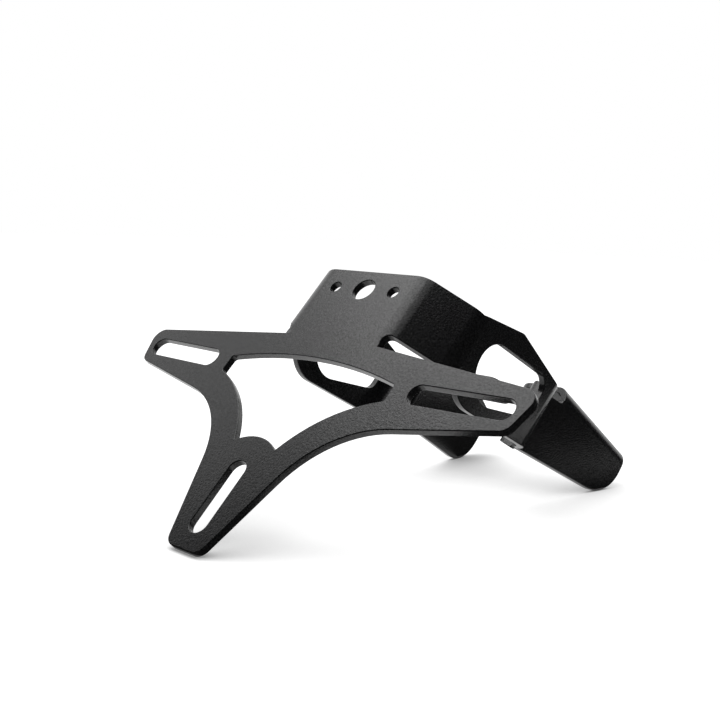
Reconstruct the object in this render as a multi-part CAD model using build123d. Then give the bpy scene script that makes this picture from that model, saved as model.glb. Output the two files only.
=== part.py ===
from build123d import *
import math
import os

os.makedirs("parts", exist_ok=True)

# Sheet, and the inner radii of its bends
SHEET = 2.5
BEND_IN = 4.0
SPLAY_BEND_IN = 6.5
LEG_BEND_IN = 1.5

# Tab between the two walls, with the wiring hole at the drawing origin
TAB_TOP = 7.9
TAB_LOW = -16.15
TAB_HALF = 22.0
WIRE_HOLE_D = 8.4
LAMP_HOLE_D = 4.3
LAMP_HOLE_X = 13.0
RELIEF_X = 20.9
RELIEF_R = 2.4

# Arms that carry the number plate: each edge is a height or offset and an angle
ARM_TOP_V = -19.75
ARM_TOP_FALL = 5.84
ARM_END_U = 95.3
ARM_END_LEAN = 17.92
ARM_LOW_V = -58.0
ARM_LOW_RISE = 10.71
ARM_TOP_CORNER_R = 4.4
ARM_LOW_CORNER_R = 3.9

# Lower arm
STEM_U = 41.5
STEM_TAPER = 18.33
STEM_TIP_V = -102.6
STEM_CORNER_R = 4.2
STEM_FILLET_R = 36.3

# Slots
SLOT_W = 7.15
SIDE_SLOT_L = 36.6
SIDE_SLOT_U = 62.2
SIDE_SLOT_V = -36.2
SIDE_SLOT_TILT = 0.9
STEM_SLOT_L = 26.1
STEM_SLOT_V = -83.8

# Window in the middle of the carrier
WINDOW_APEX_V = -29.6
WINDOW_ARC_R = 144.0
WINDOW_HALF = 37.0
WINDOW_CORNER_R = 1.2
BAND_W = 10.6
BUMP_V = -77.5
BUMP_R = 16.0

# Side walls, depths measured back from the carrier's front face
WALL_U = 37.5
SPLAY = 45.0
WALL_RAMP_D = 16.4
WALL_RAMP_RISE = 26.6
WALL_SHOULDER_D = 36.6
WALL_SHOULDER_R = 4.0
WALL_TOP_RISE = 3.1
CHIN_D = 20.4
CHIN_LOW_D = 27.5
CHIN_LOW_V = -20.2
CHIN_R = 12.5
WALL_LOW_RISE = 18.4

# Rounded window in each wall
EYE_D = 35.2
EYE_V = -1.8
EYE_R = 10.4
EYE_TOP_RISE = 18.5
EYE_LOW_RISE = 30.5
EYE_REAR_D = 60.0
EYE_REAR_R = 4.4

# Step inwards from wall to leg
STEP_D = 69.95
STEP_W = 11.7
STEP_LOW_DROP = 0.7

# Legs, flared outwards, lengths measured along the leg from the step
LEG_FLARE = 10.5
LEG_LOW_V = -4.1
LEG_LOW_RISE = 16.9
LEG_LENGTH = 56.7
LEG_END_R = 16.2
LEG_FRONT_V = 21.9
LEG_NOTCH_L = 14.6
LEG_NOTCH_V = 24.8
LEG_NOTCH_R = 1.2
LEG_TOP_V = 32.85
LEG_TOP_RISE = 2.9

# Lip along the top of each leg, turned inwards
LIP_W = 8.5
LIP_CORNER_R = 1.5

# Fixing ear at the front of each lip, reaching in from the lip's bend towards the middle
EAR_W = 17.5
EAR_L = 15.5
EAR_CORNER_R = 5.5
EAR_ROOT_R = 3.0
EAR_HOLE_D = 6.5
EAR_HOLE_IN = 7.75


def crossing(point_a, angle_a, point_b, angle_b):
    """Where two lines meet, each given by a point and an angle in degrees."""
    ca, sa = math.cos(math.radians(angle_a)), math.sin(math.radians(angle_a))
    cb, sb = math.cos(math.radians(angle_b)), math.sin(math.radians(angle_b))
    dx, dy = point_b[0] - point_a[0], point_b[1] - point_a[1]
    along_a = (dx * sb - dy * cb) / (ca * sb - sa * cb)
    return (point_a[0] + along_a * ca, point_a[1] + along_a * sa)


def near(sketch, points, within=0.01):
    """The sketch corners that lie at the given points."""
    return [v for v in sketch.vertices() if any(math.dist((v.X, v.Y), p) < within for p in points)]


def both(points):
    """A list of points and its mirror image in the middle line."""
    return points + [(-x, y) for x, y in points]


# Carrier plate outline, right half from the tab down to the tip
bend_out = BEND_IN + SHEET
splay_bend_out = SPLAY_BEND_IN + SHEET
leg_bend_out = LEG_BEND_IN + SHEET
bend_back = splay_bend_out * math.tan(math.radians(SPLAY / 2))
tab_flat = TAB_HALF - bend_back
arm_top = (0, ARM_TOP_V)
arm_low = (0, ARM_LOW_V)
stem_side = (STEM_U, 0)
stem_angle = 90 - STEM_TAPER
neck = crossing(arm_top, -ARM_TOP_FALL, (tab_flat, 0), 90)
arm_tip_top = crossing(arm_top, -ARM_TOP_FALL, (ARM_END_U, 0), 90 - ARM_END_LEAN)
arm_tip_low = crossing(arm_low, ARM_LOW_RISE, (ARM_END_U, 0), 90 - ARM_END_LEAN)
armpit = crossing(arm_low, ARM_LOW_RISE, stem_side, stem_angle)
stem_tip = crossing((0, STEM_TIP_V), 0, stem_side, stem_angle)
half = [
    (tab_flat, TAB_TOP),
    neck,
    arm_tip_top,
    arm_tip_low,
    armpit,
    stem_tip,
]
outline = make_face(Polyline(*half, *[(-x, y) for x, y in reversed(half)], close=True))
outline = fillet(near(outline, both([arm_tip_top])), ARM_TOP_CORNER_R)
outline = fillet(near(outline, both([arm_tip_low])), ARM_LOW_CORNER_R)
outline = fillet(near(outline, both([armpit])), STEM_FILLET_R)
outline = fillet(near(outline, both([stem_tip])), STEM_CORNER_R)

# Window: its lower curves run parallel to the outer fillets, and a bump stands round the lower slot
middle = math.radians((ARM_LOW_RISE - 180 + stem_angle) / 2)
hub_reach = STEM_FILLET_R / math.sin(math.radians((ARM_LOW_RISE + 180 - stem_angle) / 2))
hub = (armpit[0] + hub_reach * math.cos(middle), armpit[1] + hub_reach * math.sin(middle))
window = Pos(0, BUMP_V / 2) * Rectangle(2 * WINDOW_HALF, -BUMP_V)
window &= Pos(0, WINDOW_APEX_V - WINDOW_ARC_R) * Circle(WINDOW_ARC_R)
window -= Pos(*hub) * Circle(STEM_FILLET_R + BAND_W)
window -= Pos(-hub[0], hub[1]) * Circle(STEM_FILLET_R + BAND_W)
window -= Pos(0, BUMP_V) * Circle(BUMP_R)
columns = window.vertices().group_by(Axis.X)
window = fillet(columns[0] + columns[-1], WINDOW_CORNER_R)

# Slots and holes of the carrier
carrier = outline - window
for side in (1, -1):
    slot_place = Pos(side * SIDE_SLOT_U, SIDE_SLOT_V) * Rot(0, 0, side * SIDE_SLOT_TILT)
    carrier -= slot_place * SlotOverall(SIDE_SLOT_L, SLOT_W)
    carrier -= Pos(side * LAMP_HOLE_X, 0) * Circle(LAMP_HOLE_D / 2)
carrier -= Pos(0, STEM_SLOT_V) * Rot(0, 0, 90) * SlotOverall(STEM_SLOT_L, SLOT_W)
carrier -= Circle(WIRE_HOLE_D / 2)
plate = extrude(carrier, amount=-SHEET)

# Folded run of the right wall, drawn in plan as across and depth: tab, splay, wall, step, start of the leg
flare = math.radians(LEG_FLARE)
leg_u = WALL_U - STEP_W
leg_start = LEG_BEND_IN * math.tan(math.radians(45 + LEG_FLARE / 2)) + SHEET
leg_from = (leg_u + leg_start * math.sin(flare), STEP_D + leg_start * math.cos(flare))
splay_d = (WALL_U - TAB_HALF) * math.tan(math.radians(SPLAY))
outer = [
    (tab_flat - SHEET, 0),
    (TAB_HALF, 0),
    (WALL_U, splay_d),
    (WALL_U, STEP_D),
    (leg_u, STEP_D),
    leg_from,
]
normals = []
for a, b in zip(outer, outer[1:]):
    length = math.dist(a, b)
    normals.append(((a[1] - b[1]) / length, (b[0] - a[0]) / length))
inner = []
for p, m, n in zip(outer, normals[:1] + normals, normals + normals[-1:]):
    mitre = SHEET / (1 + m[0] * n[0] + m[1] * n[1])
    inner.append((p[0] + mitre * (m[0] + n[0]), p[1] + mitre * (m[1] + n[1])))
outer_line = FilletPolyline(*outer, radius=[splay_bend_out, splay_bend_out, bend_out, LEG_BEND_IN])
inner_line = FilletPolyline(*inner, radius=[SPLAY_BEND_IN, SPLAY_BEND_IN, BEND_IN, leg_bend_out])
ends = [Line(outer[0], inner[0]), Line(outer[-1], inner[-1])]
run_face = make_face(Curve() + [outer_line, inner_line, *ends])
plan = Plane(origin=(0, 0, 0), x_dir=(1, 0, 0), z_dir=(0, 1, 0))
span = WALL_U + STEP_D
run = extrude(plan * run_face, amount=span, both=True)

# Height of the run, zone by zone: tab and splay, then the wall's own outline, then the step
step_u = WALL_U - bend_out
step_mid = STEP_D - SHEET / 2
wall_end = STEP_D + SHEET
chin_low = (CHIN_LOW_D, CHIN_LOW_V)
shoulder = crossing((WALL_RAMP_D, TAB_TOP), WALL_RAMP_RISE, (WALL_SHOULDER_D, 0), 90)
wall_top = crossing(shoulder, WALL_TOP_RISE, (wall_end, 0), 90)
wall_low = crossing(chin_low, WALL_LOW_RISE, (wall_end, 0), 90)
step_top = crossing(shoulder, WALL_TOP_RISE, (step_mid, 0), 90)
step_low = crossing(chin_low, WALL_LOW_RISE, (step_mid, 0), 90)
leg_low = crossing((0, LEG_LOW_V), LEG_LOW_RISE, (leg_start, 0), 90)
relief_low = crossing(arm_top, -ARM_TOP_FALL, (RELIEF_X, 0), 90)
splay_face = make_face(
    Polyline(
        (0, TAB_TOP),
        (WALL_U + SHEET, TAB_TOP),
        (WALL_U + SHEET, TAB_LOW),
        (RELIEF_X, TAB_LOW),
        relief_low,
        arm_top,
        close=True,
    )
)
splay_face = fillet(near(splay_face, [(RELIEF_X, TAB_LOW)]), RELIEF_R)
splay_zone = extrude(Pos(0, 0, SHEET) * splay_face, amount=-WALL_RAMP_D - SHEET)
wall_face = make_face(
    Polyline(
        (WALL_RAMP_D, TAB_TOP),
        shoulder,
        wall_top,
        wall_low,
        chin_low,
        (CHIN_D, TAB_LOW),
        (WALL_RAMP_D, TAB_LOW),
        close=True,
    )
)
wall_face = fillet(near(wall_face, [shoulder]), WALL_SHOULDER_R)
wall_face = fillet(near(wall_face, [chin_low]), CHIN_R)

# Rounded window of the wall
eye_rise = math.radians(EYE_TOP_RISE)
eye_fall = math.radians(EYE_LOW_RISE)
eye_top = (EYE_D - EYE_R * math.sin(eye_rise), EYE_V + EYE_R * math.cos(eye_rise))
eye_low = (EYE_D + EYE_R * math.sin(eye_fall), EYE_V - EYE_R * math.cos(eye_fall))
eye_rear_top = crossing(eye_top, EYE_TOP_RISE, (EYE_REAR_D, 0), 90)
eye_rear_low = crossing(eye_low, EYE_LOW_RISE, (EYE_REAR_D, 0), 90)
eye = make_face(Polyline(eye_top, eye_rear_top, eye_rear_low, eye_low, close=True))
eye = fillet(near(eye, [eye_rear_top, eye_rear_low]), EYE_REAR_R)
eye += Pos(EYE_D, EYE_V) * Circle(EYE_R)
side_view = Plane(origin=(step_u, 0, 0), x_dir=(0, 0, -1), z_dir=(1, 0, 0))
wall_zone = extrude(side_view * (wall_face - eye), amount=span)

# Step: its upper edge rises to the leg's front, and its lower edge carries the wall's slope round to the leg
step_face = make_face(
    Polyline(
        (step_u, CHIN_LOW_V),
        (0, CHIN_LOW_V),
        (0, LEG_FRONT_V),
        (leg_from[0], LEG_FRONT_V),
        (step_u, step_top[1]),
        close=True,
    )
)
step_zone = extrude(Pos(0, 0, bend_out - STEP_D) * step_face, amount=-(bend_out + leg_start + SHEET))
low_slope = math.tan(math.radians(WALL_LOW_RISE))
slope_at = (step_u, step_low[1] - STEP_LOW_DROP, -step_mid)
slope_plane = Plane(origin=slope_at, z_dir=(low_slope, 1, low_slope))
step_zone &= extrude(slope_plane * Rectangle(2 * span, 2 * span), amount=span)
run &= splay_zone + wall_zone + step_zone

# Leg: outline in its own flared plane, with a rounded foot and a notch in front of the lip
leg_plane = Plane(
    origin=(leg_u, 0, -STEP_D),
    x_dir=(math.sin(flare), 0, -math.cos(flare)),
    z_dir=(math.cos(flare), 0, math.sin(flare)),
)
lip_front = (LEG_NOTCH_L, LEG_TOP_V)
leg_top_end = crossing(lip_front, LEG_TOP_RISE, (LEG_LENGTH, 0), 90)
leg_foot = crossing((0, LEG_LOW_V), LEG_LOW_RISE, leg_top_end, 90 + LEG_TOP_RISE)
bend_line = (LEG_NOTCH_L, LEG_TOP_V - bend_out / math.cos(math.radians(LEG_TOP_RISE)))
bend_end = crossing(bend_line, LEG_TOP_RISE, leg_top_end, 90 + LEG_TOP_RISE)
notch = (LEG_NOTCH_L, LEG_NOTCH_V)
leg_face = make_face(
    Polyline(leg_low, leg_foot, bend_end, bend_line, notch, (leg_start, LEG_FRONT_V), close=True)
)
leg_face = fillet(near(leg_face, [leg_foot]), LEG_END_R)
leg_face = fillet(near(leg_face, [notch]), LEG_NOTCH_R)
leg = extrude(leg_plane * leg_face, amount=-SHEET)

# Lip and ear on the leg's top edge: an angle section run along the edge, then cut to outline
rise = math.radians(LEG_TOP_RISE)
lip_at = leg_plane.from_local_coords(Vector(*lip_front, 0))
along = leg_plane.x_dir * math.cos(rise) + leg_plane.y_dir * math.sin(rise)
upward = leg_plane.y_dir * math.cos(rise) - leg_plane.x_dir * math.sin(rise)
section_plane = Plane(origin=lip_at - along * EAR_W, x_dir=leg_plane.z_dir, z_dir=along)
lip_plane = Plane(origin=lip_at, x_dir=along, z_dir=upward)
lip_length = math.dist(lip_front, leg_top_end)
section_w = bend_out + EAR_W + EAR_L
angle_section = make_face(
    Polyline(
        (0, bend_out + SHEET / 2),
        (0, 0),
        (-section_w, 0),
        (-section_w, SHEET),
        (-SHEET, SHEET),
        (-SHEET, bend_out + SHEET / 2),
        close=True,
    )
)
angle_section = fillet(near(angle_section, [(0, 0)]), bend_out)
angle_section = fillet(near(angle_section, [(-SHEET, SHEET)]), BEND_IN)
lip = extrude(section_plane * angle_section, amount=EAR_W + lip_length)

# Outline of lip and ear, along the edge and inwards: the ear stands square to the middle plane
back = (math.cos(flare), math.sin(flare))
ear_front = (-EAR_W * back[1], bend_out + EAR_W * back[0])
ear_rear = (ear_front[0] + EAR_L * back[0], ear_front[1] + EAR_L * back[1])
ear_root = crossing(ear_rear, LEG_FLARE - 90, (0, LIP_W), 0)
lip_end = (lip_length, LIP_W)
lip_face = make_face(
    Polyline(
        (0, -SHEET),
        (0, bend_out),
        ear_front,
        ear_rear,
        ear_root,
        lip_end,
        (lip_length, -SHEET),
        close=True,
    )
)
lip_face = fillet(near(lip_face, [ear_front, ear_rear]), EAR_CORNER_R)
lip_face = fillet(near(lip_face, [ear_root]), EAR_ROOT_R)
lip_face = fillet(near(lip_face, [lip_end]), LIP_CORNER_R)
ear_hole = (
    ear_front[0] + EAR_L / 2 * back[0] + EAR_HOLE_IN * back[1],
    ear_front[1] + EAR_L / 2 * back[1] - EAR_HOLE_IN * back[0],
)
lip_face -= Pos(*ear_hole) * Circle(EAR_HOLE_D / 2)
lip &= extrude(lip_plane * lip_face, amount=-(bend_out + SHEET))

# One sheet: carrier, and the folded run with its leg on both sides
arm = run + leg + lip
bracket = plate + arm + mirror(arm, about=Plane.YZ)

# Stand it on the floor: the tip of the lower arm and the two feet touch
low_rise = math.radians(LEG_LOW_RISE)
foot_low = (-LEG_END_R * math.sin(low_rise), LEG_LOW_V + LEG_END_R * math.cos(low_rise))
foot_end = (leg_top_end[0] - LEG_END_R * math.cos(rise), leg_top_end[1] - LEG_END_R * math.sin(rise))
foot_centre = crossing(foot_low, LEG_LOW_RISE, foot_end, 90 + LEG_TOP_RISE)
height = foot_centre[1] - STEM_TIP_V
depth = STEP_D + foot_centre[0] * math.cos(flare) + SHEET * math.sin(flare) - SHEET
clear = height**2 - LEG_END_R**2
contact = LEG_END_R * math.sqrt(depth**2 + clear * math.cos(flare) ** 2)
lean = math.atan2(height * depth + contact, clear)
bracket = Rot(math.degrees(lean), 0, 0) * bracket
box = bracket.bounding_box()
bracket = Pos(0, -(box.min.Y + box.max.Y) / 2, -box.min.Z) * bracket
bracket.label = "bracket"

export_step(bracket, "parts/bracket.step")
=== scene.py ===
import math

import bmesh
import bpy
import numpy as np
from mathutils import Matrix, Vector


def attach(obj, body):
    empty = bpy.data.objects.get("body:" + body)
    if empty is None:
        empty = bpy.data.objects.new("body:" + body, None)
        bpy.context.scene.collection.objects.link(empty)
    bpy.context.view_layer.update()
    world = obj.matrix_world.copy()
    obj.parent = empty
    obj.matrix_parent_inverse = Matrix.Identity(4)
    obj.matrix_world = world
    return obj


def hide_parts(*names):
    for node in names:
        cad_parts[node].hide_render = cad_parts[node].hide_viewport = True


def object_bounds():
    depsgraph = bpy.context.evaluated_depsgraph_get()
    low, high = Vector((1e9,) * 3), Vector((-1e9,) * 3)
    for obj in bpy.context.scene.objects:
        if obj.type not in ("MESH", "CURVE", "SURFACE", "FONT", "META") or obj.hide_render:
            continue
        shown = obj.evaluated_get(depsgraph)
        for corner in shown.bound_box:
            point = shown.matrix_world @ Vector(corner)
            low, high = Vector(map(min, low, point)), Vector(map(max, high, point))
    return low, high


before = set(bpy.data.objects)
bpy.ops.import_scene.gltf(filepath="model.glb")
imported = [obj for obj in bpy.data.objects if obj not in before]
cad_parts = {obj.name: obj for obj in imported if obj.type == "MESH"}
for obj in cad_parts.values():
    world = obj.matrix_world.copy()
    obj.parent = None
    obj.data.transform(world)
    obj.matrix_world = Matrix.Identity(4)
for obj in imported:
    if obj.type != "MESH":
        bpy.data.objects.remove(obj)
cad_low, cad_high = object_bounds()

# The bracket is one blank of 2.5 mm steel, laser cut and folded: tab, two splayed walls, two legs.
# It is powder coated black after folding, so the cured coat runs over every cut edge and rounds it.
# Only the two roots of the tab's fold stay sharp, where each bend runs out into its relief slit.
COAT_ROUND = 0.0003
COAT_STEPS = 3
SAME_POINT = 1e-6
SLIVER = 0.00008
SAME_PLANE = math.radians(0.5)
CUT_EDGE = math.radians(40)
FOLD_ROOTS = [Vector((x, -0.0370, 0.0596)) for x in (0.0195, -0.0195)]
FOLD_REACH = 0.0030
ROOT_LINE = Vector((0, -0.03593, 0.06038))
UP_THE_PLATE = Vector((0, 0.69795, 0.71615))
PEBBLE = {"Scale": 1700, "Detail": 2}
PEEL = {"Scale": 1500, "Detail": 1.5}
CLOUD = {"Scale": 38, "Detail": 4}
PIT_TINT = (0.36, (0.0030, 0.0031, 0.0034, 1))
PEAK_TINT = (0.64, (0.0150, 0.0153, 0.0162, 1))
COAT_ROUGHNESS = {"From Min": 0.3, "From Max": 0.7, "To Min": 0.20, "To Max": 0.26}
COAT_SHINE = {"From Min": 0.3, "From Max": 0.7, "To Min": 0.36, "To Max": 0.62}
PEEL_RELIEF = {"Strength": 0.8, "Distance": 0.00006}
PEBBLE_RELIEF = {"Strength": 0.8, "Distance": 0.00003}


def coated_sheet(name, node, rounding):
    """A copy of a node's mesh: doubles merged, flat faces made whole, cut edges rounded by a bevel."""
    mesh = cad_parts[node].data.copy()
    mesh.name = name
    form = bmesh.new()
    form.from_mesh(mesh)
    bmesh.ops.remove_doubles(form, verts=form.verts, dist=SAME_POINT)
    bmesh.ops.dissolve_limit(form, angle_limit=SAME_PLANE, verts=form.verts, edges=form.edges)
    close = [vert for vert in form.verts if any(edge.calc_length() < SLIVER for edge in vert.link_edges)]
    bmesh.ops.remove_doubles(form, verts=close, dist=SLIVER)
    whole = form.verts[:] + form.edges[:] + form.faces[:]
    bmesh.ops.bisect_plane(form, geom=whole, plane_co=ROOT_LINE, plane_no=UP_THE_PLATE)
    cut = form.edges.layers.float.new("bevel_weight_edge")
    for edge in form.edges:
        middle = (edge.verts[0].co + edge.verts[1].co) / 2
        at_root = min((middle - root).length for root in FOLD_ROOTS) < FOLD_REACH
        is_cut = edge.calc_face_angle() > CUT_EDGE
        edge[cut] = float(is_cut and not at_root)
        edge.smooth = not (is_cut and at_root)
    for face in form.faces:
        face.smooth = True
    form.to_mesh(mesh)
    form.free()
    mesh.materials.clear()
    piece = bpy.data.objects.new(name, mesh)
    bpy.context.scene.collection.objects.link(piece)
    bevel = piece.modifiers.new("rounded cut edges", "BEVEL")
    bevel.width = rounding
    bevel.segments = COAT_STEPS
    bevel.limit_method = "WEIGHT"
    bevel.use_clamp_overlap = False
    bevel.miter_outer = "MITER_ARC"
    joined = piece.modifiers.new("corners joined", "WELD")
    joined.merge_threshold = SAME_POINT
    flats = piece.modifiers.new("flat faces stay flat", "WEIGHTED_NORMAL")
    flats.mode = "FACE_AREA"
    flats.weight = 100
    flats.keep_sharp = True
    return piece


def new_material(name, values=()):
    """A material and its shader, with constant values on the shader's own sockets."""
    material = bpy.data.materials.new(name)
    material.use_nodes = True
    shader = material.node_tree.nodes["Principled BSDF"]
    for key, value in dict(values).items():
        shader.inputs[key].default_value = value
    return material, shader


def wired(tree, kind, links=(), values=(), **settings):
    """A shader node with its settings: values are set on its inputs, and links are (input, socket) pairs."""
    made = tree.nodes.new(kind)
    for key, value in settings.items():
        setattr(made, key, value)
    for key, value in dict(values).items():
        made.inputs[key].default_value = value
    for key, socket in links:
        tree.links.new(socket, made.inputs[key])
    return made


def powder_coat():
    """Satin black powder coat: a fine pebbled skin on a softer orange peel, its gloss a little uneven."""
    material, shader = new_material("black_powder_coat")
    tree = material.node_tree
    place = wired(tree, "ShaderNodeTexCoord").outputs["Object"]
    pebble, peel, cloud = [
        wired(tree, "ShaderNodeTexNoise", [("Vector", place)], grain).outputs["Fac"]
        for grain in (PEBBLE, PEEL, CLOUD)
    ]
    tint = wired(tree, "ShaderNodeValToRGB", [("Fac", pebble)])
    for stop, (position, color) in zip(tint.color_ramp.elements, (PIT_TINT, PEAK_TINT)):
        stop.position = position
        stop.color = color
    roughness = wired(tree, "ShaderNodeMapRange", [("Value", cloud)], COAT_ROUGHNESS)
    shine = wired(tree, "ShaderNodeMapRange", [("Value", pebble)], COAT_SHINE)
    soft = wired(tree, "ShaderNodeBump", [("Height", peel)], PEEL_RELIEF)
    below = soft.outputs["Normal"]
    skin = wired(tree, "ShaderNodeBump", [("Height", pebble), ("Normal", below)], PEBBLE_RELIEF)
    tree.links.new(tint.outputs["Color"], shader.inputs["Base Color"])
    tree.links.new(roughness.outputs["Result"], shader.inputs["Roughness"])
    tree.links.new(shine.outputs["Result"], shader.inputs["Specular IOR Level"])
    tree.links.new(skin.outputs["Normal"], shader.inputs["Normal"])
    return material


bracket = coated_sheet("coated_bracket", "bracket", COAT_ROUND)
bracket.data.materials.append(powder_coat())
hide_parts("bracket")
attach(bracket, "root")

# The floor is a wide sheet of matt white paper, lit by the lamps, and it takes their soft shadows.
# To the camera and in reflections it also glows, and ambient occlusion dims that glow near the object: a
# painted contact shadow. Where nothing stands near, it comes out as white as the background.
FLOOR_HALF = 4.0
PAPER = {
    "Base Color": (0.86, 0.86, 0.86, 1),
    "Roughness": 0.9,
    "Specular IOR Level": 0,
    "Emission Color": (1, 1, 1, 1),
}
PAPER_GLOW = 0.85
PAINTED_SHADOW_REACH = 0.05
PAINTED_SHADOW_SAMPLES = 16


def seen_by(tree, flags):
    """One number from the light path's flags: max(flag 1, flag 2, ...)."""
    ray = wired(tree, "ShaderNodeLightPath").outputs
    seen = ray[flags[0]]
    for flag in flags[1:]:
        pair = [(0, seen), (1, ray[flag])]
        seen = wired(tree, "ShaderNodeMath", pair, operation="MAXIMUM").outputs[0]
    return seen


floor_mesh = bpy.data.meshes.new("paper_floor")
corners = [(x * FLOOR_HALF, y * FLOOR_HALF, cad_low.z) for x, y in ((-1, -1), (1, -1), (1, 1), (-1, 1))]
floor_mesh.from_pydata(corners, [], [(0, 1, 2, 3)])
floor = bpy.data.objects.new("paper_floor", floor_mesh)
bpy.context.scene.collection.objects.link(floor)
paper, matt = new_material("white_paper", PAPER)
paper_tree = paper.node_tree
# Ambient occlusion dims the paper's glow close to the object: this is the painted contact shadow.
painted_contact_shadow = wired(paper_tree, "ShaderNodeAmbientOcclusion", samples=PAINTED_SHADOW_SAMPLES)
painted_contact_shadow.inputs["Distance"].default_value = PAINTED_SHADOW_REACH
painted_shade = painted_contact_shadow.outputs["AO"]
shaded_glow = wired(paper_tree, "ShaderNodeMath", [(0, painted_shade)], {1: PAPER_GLOW}, operation="MULTIPLY").outputs[0]
in_view = seen_by(paper_tree, ("Is Camera Ray", "Is Glossy Ray"))
shown = wired(paper_tree, "ShaderNodeMath", [(0, shaded_glow), (1, in_view)], operation="MULTIPLY").outputs[0]
paper_tree.links.new(shown, matt.inputs["Emission Strength"])
floor_mesh.materials.append(paper)

# The background is a white studio with no walls.
# It is full white to the camera and in reflections, and a gentler fill on everything else.
FILL = 0.22
FULL_WHITE = 1.0

world = bpy.data.worlds.new("white_studio")
bpy.context.scene.world = world
world.use_nodes = True
sky = world.node_tree
in_view = seen_by(sky, ("Is Camera Ray", "Is Glossy Ray", "Is Transmission Ray"))
level = wired(sky, "ShaderNodeMapRange", [("Value", in_view)], {"To Min": FILL, "To Max": FULL_WHITE})
sky.links.new(level.outputs["Result"], sky.nodes["Background"].inputs["Strength"])
sky.nodes["Background"].inputs["Color"].default_value = (1, 1, 1, 1)

# The key light is one broad softbox, hung level overhead and to the left.
# The plate mirrors it, which gives the tab and the arms their sheen.
KEY_LOW = Vector((-0.68, -0.36, 0.75))
KEY_HIGH = Vector((0.08, 0.40, 0.75))
KEY_WATTS = 3.0

key = bpy.data.lights.new("overhead_softbox", "AREA")
key.shape = "RECTANGLE"
key.size = KEY_HIGH.x - KEY_LOW.x
key.size_y = KEY_HIGH.y - KEY_LOW.y
key.energy = KEY_WATTS
key_lamp = bpy.data.objects.new("overhead_softbox", key)
key_lamp.location = (KEY_LOW + KEY_HIGH) / 2
bpy.context.scene.collection.objects.link(key_lamp)

# The dark side of the studio is painted into reflections: black cards round the camera's side and the right,
# which only reflections show.
# Two stand in a curve and four lie on the floor, where the bracket would otherwise mirror white paper and
# studio. They paint its walls, legs and cut edges darker, and their faint glow sets how dark.
# A standing card is start, end and height, and a lying one is start, end, inner and outer radius.
CARD_RADIUS = 0.42
CARD_LIE = 0.001
CARD_STEPS = 48
STANDING_CARDS = {
    "front_card": (math.radians(-149), math.radians(-60), 0.60),
    "right_card": (math.radians(-60), math.radians(75), 0.68),
}
LYING_CARDS = {
    "near_card": (math.radians(-110), math.radians(-45), 0.075, 0.42),
    "lying_card": (math.radians(-45), math.radians(43), 0.03, 0.42),
    "rear_card": (math.radians(43), math.radians(120), 0.08, 0.165),
    "far_card": (math.radians(43), math.radians(120), 0.225, 0.42),
}
# The cards' colour: near black with a faint white glow, which is the painted dark reflection seen in the
# bracket.
DARK_REFLECTION = {
    "Base Color": (0.002, 0.002, 0.002, 1),
    "Roughness": 1.0,
    "Specular IOR Level": 0.0,
    "Emission Color": (1, 1, 1, 1),
    "Emission Strength": 0.03,
}


def dark_card(name, start, end, inner, outer, low, high):
    """A ruled card between two arcs: (inner, low) and (outer, high) are each arc's radius and height."""
    turn = np.linspace(start, end, CARD_STEPS + 1)
    arcs = [np.column_stack([r * np.cos(turn), r * np.sin(turn), np.full_like(turn, z)])
            for r, z in ((inner, low), (outer, high))]
    first = np.arange(CARD_STEPS)
    panels = np.column_stack([first, first + 1, first + CARD_STEPS + 2, first + CARD_STEPS + 1])
    mesh = bpy.data.meshes.new(name)
    mesh.from_pydata(np.vstack(arcs).tolist(), [], panels.tolist())
    mesh.materials.append(dark_reflection)
    card = bpy.data.objects.new(name, mesh)
    bpy.context.scene.collection.objects.link(card)
    card.visible_camera = False
    card.visible_diffuse = False
    card.visible_shadow = False


dark_reflection, _ = new_material("painted_dark_reflection", DARK_REFLECTION)
for name, (start, end, height) in STANDING_CARDS.items():
    dark_card(name, start, end, CARD_RADIUS, CARD_RADIUS, 0.0, height)
for name, (start, end, inner, outer) in LYING_CARDS.items():
    dark_card(name, start, end, inner, outer, CARD_LIE, CARD_LIE)

# The camera stands low at the front right corner, as in the photo.
# It is turned a little about its own axis.
CAMERA_PLACE = Vector((0.24123, -0.27258, 0.09612))
CAMERA_AIM = Vector((0.0, -0.02222, 0.05191))
CAMERA_ROLL = math.radians(2.30)
CAMERA_LENS = 53.135
CAMERA_SENSOR = 36
CAMERA_NEAR = 0.01

camera_data = bpy.data.cameras.new("camera")
camera_data.lens = CAMERA_LENS
camera_data.sensor_width = CAMERA_SENSOR
camera_data.clip_start = CAMERA_NEAR
camera = bpy.data.objects.new("camera", camera_data)
look = (CAMERA_AIM - CAMERA_PLACE).to_track_quat("-Z", "Y").to_matrix().to_4x4()
camera.matrix_world = Matrix.Translation(CAMERA_PLACE) @ look @ Matrix.Rotation(CAMERA_ROLL, 4, "Z")
bpy.context.scene.collection.objects.link(camera)
bpy.context.scene.camera = camera
bpy.context.scene.view_settings.view_transform = "Standard"
